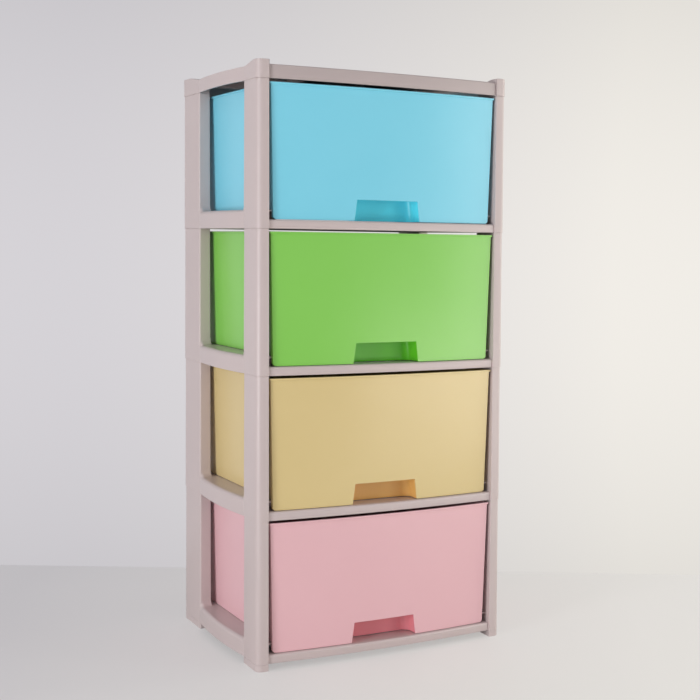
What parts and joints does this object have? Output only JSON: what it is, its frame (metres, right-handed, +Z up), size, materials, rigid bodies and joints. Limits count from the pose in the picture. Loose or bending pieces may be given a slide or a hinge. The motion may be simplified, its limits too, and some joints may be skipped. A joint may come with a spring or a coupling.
{
  "type": "drawer organizer",
  "caption": "Tall plastic drawer tower for crafts and parts: stacked open side frames, bowed cross rails, a ribbed cover and deep sliding drawers with finger recesses.",
  "frame": {"origin": "middle of the footprint, on the floor", "axes": "+X to the viewer's right when facing the drawer fronts, -Y out of the drawer fronts, +Z up"},
  "size_m": [0.422, 0.349, 0.8845],
  "materials": {
    "frame": "satin warm grey",
    "pink_drawer": "satin pastel pink",
    "cream_drawer": "satin pastel cream",
    "green_drawer": "satin pastel green",
    "blue_drawer": "satin pastel sky blue"
  },
  "bodies": {
    "frame": {"left_side_1": "frame", "left_side_2": "frame", "left_side_3": "frame", "left_side_4": "frame", "right_side_1": "frame", "right_side_2": "frame", "right_side_3": "frame", "right_side_4": "frame", "front_rail_1": "frame", "front_rail_2": "frame", "front_rail_3": "frame", "front_rail_4": "frame", "rear_rail_1": "frame", "rear_rail_2": "frame", "rear_rail_3": "frame", "rear_rail_4": "frame", "foot_front_left": "frame", "foot_front_right": "frame", "foot_rear_left": "frame", "foot_rear_right": "frame", "top_cover": "frame"},
    "drawer_1": {"drawer_1": "pink_drawer"},
    "drawer_2": {"drawer_2": "cream_drawer"},
    "drawer_3": {"drawer_3": "green_drawer"},
    "drawer_4": {"drawer_4": "blue_drawer"}
  },
  "joints": [
    {"name": "drawer_1_slide", "type": "slide", "parent": "frame", "child": "drawer_1", "axis": [0, -1, 0], "range_m": [0, 0.19]},
    {"name": "drawer_2_slide", "type": "slide", "parent": "frame", "child": "drawer_2", "axis": [0, -1, 0], "range_m": [0, 0.19]},
    {"name": "drawer_3_slide", "type": "slide", "parent": "frame", "child": "drawer_3", "axis": [0, -1, 0], "range_m": [0, 0.19]},
    {"name": "drawer_4_slide", "type": "slide", "parent": "frame", "child": "drawer_4", "axis": [0, -1, 0], "range_m": [0, 0.19]}
  ]
}
